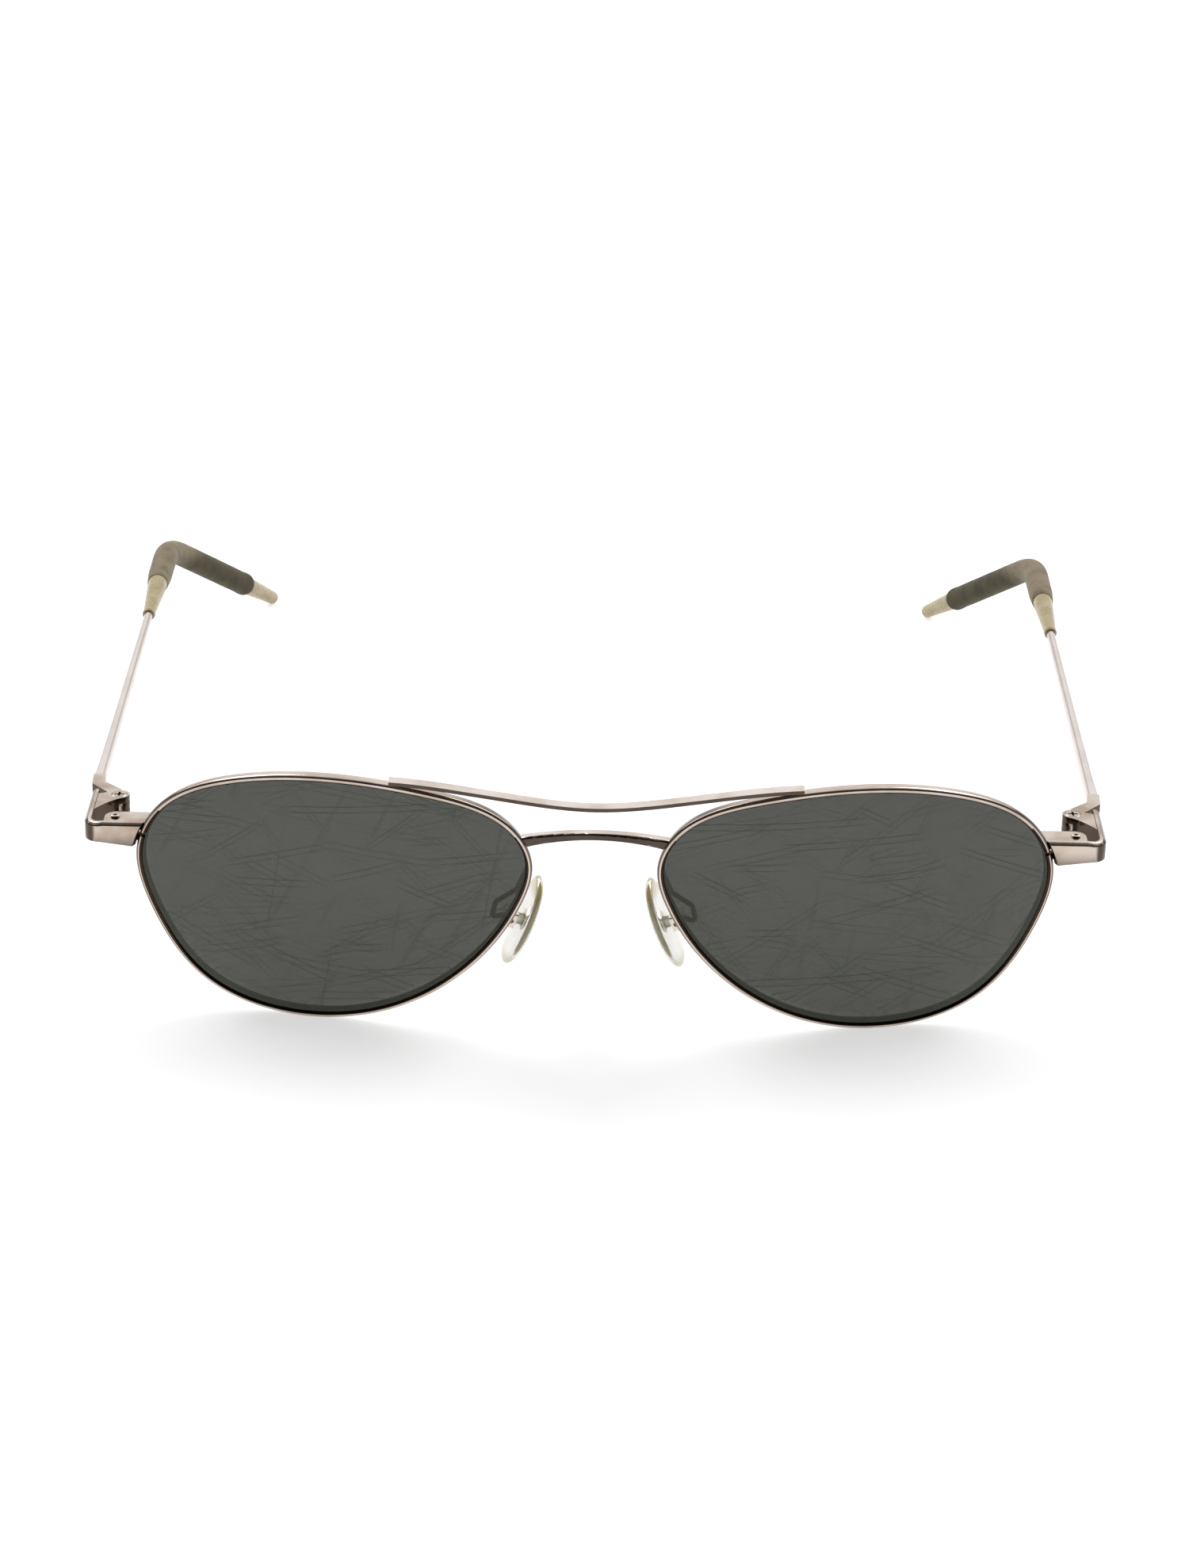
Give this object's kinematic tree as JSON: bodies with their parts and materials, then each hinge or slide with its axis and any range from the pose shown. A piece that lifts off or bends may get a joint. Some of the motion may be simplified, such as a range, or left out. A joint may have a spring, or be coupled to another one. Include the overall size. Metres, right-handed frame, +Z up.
{
  "type": "aviator sunglasses",
  "caption": "Wire-frame aviator sunglasses with a brow bar, dark curved lenses, folding temples with rubber-sleeved tips, and rocking nose pads.",
  "frame": {"origin": "middle of the footprint of the open glasses, on the table they stand on", "axes": "+X to the wearer's left, +Y back along the temples, +Z up"},
  "size_m": [0.1432, 0.1512, 0.0394],
  "materials": {
    "frame_metal": "champagne plating, polished, worn and brown in places",
    "screw_metal": "plated steel, satin",
    "lens": "grey-green tinted mineral glass with fine scratches",
    "tip_acetate": "translucent yellowed acetate, satin",
    "sleeve_rubber": "matt dark olive-grey rubber",
    "pad_silicone": "clear silicone, slightly yellowed",
    "pad_core": "clear hard plastic"
  },
  "bodies": {
    "front": {"rim_left": "frame_metal", "rim_right": "frame_metal", "lens_left": "lens", "lens_right": "lens", "endpiece_left": "frame_metal", "endpiece_right": "frame_metal", "closing_block_upper_left": "frame_metal", "closing_block_upper_right": "frame_metal", "closing_block_lower_left": "frame_metal", "closing_block_lower_right": "frame_metal", "closing_screw_left": "screw_metal", "closing_screw_right": "screw_metal", "hinge_leaf_front_left": "frame_metal", "hinge_leaf_front_right": "frame_metal", "hinge_screw_left": "screw_metal", "hinge_screw_right": "screw_metal", "pad_arm_left": "frame_metal", "pad_arm_right": "frame_metal", "pad_box_left": "frame_metal", "pad_box_right": "frame_metal", "pad_screw_left": "screw_metal", "pad_screw_right": "screw_metal", "bridge": "frame_metal", "brow_bar": "frame_metal"},
    "temple_left": {"hinge_leaf_temple_left": "frame_metal", "temple_wire_left": "frame_metal", "temple_tip_left": "tip_acetate", "tip_sleeve_left": "sleeve_rubber"},
    "temple_right": {"hinge_leaf_temple_right": "frame_metal", "temple_wire_right": "frame_metal", "temple_tip_right": "tip_acetate", "tip_sleeve_right": "sleeve_rubber"},
    "pad_left": {"nose_pad_left": "pad_silicone", "pad_insert_left": "pad_core"},
    "pad_right": {"nose_pad_right": "pad_silicone", "pad_insert_right": "pad_core"}
  },
  "joints": [
    {"name": "temple_left_fold", "type": "hinge", "parent": "front", "child": "temple_left", "pos_m": [0.06615, -0.0585, 0.02684], "axis": [0, 0.0395, 0.9992], "range_deg": [0, 88]},
    {"name": "temple_right_fold", "type": "hinge", "parent": "front", "child": "temple_right", "pos_m": [-0.06615, -0.0585, 0.02684], "axis": [0, -0.0395, -0.9992], "range_deg": [0, 77]},
    {"name": "pad_left_rock", "type": "hinge", "parent": "front", "child": "pad_left", "pos_m": [0.01155, -0.06564, 0.0142], "axis": [0.1299, 0.9803, 0.1486], "range_deg": [-10, 10]},
    {"name": "pad_right_rock", "type": "hinge", "parent": "front", "child": "pad_right", "pos_m": [-0.01155, -0.06564, 0.0142], "axis": [-0.1299, 0.9803, 0.1486], "range_deg": [-10, 10]}
  ]
}
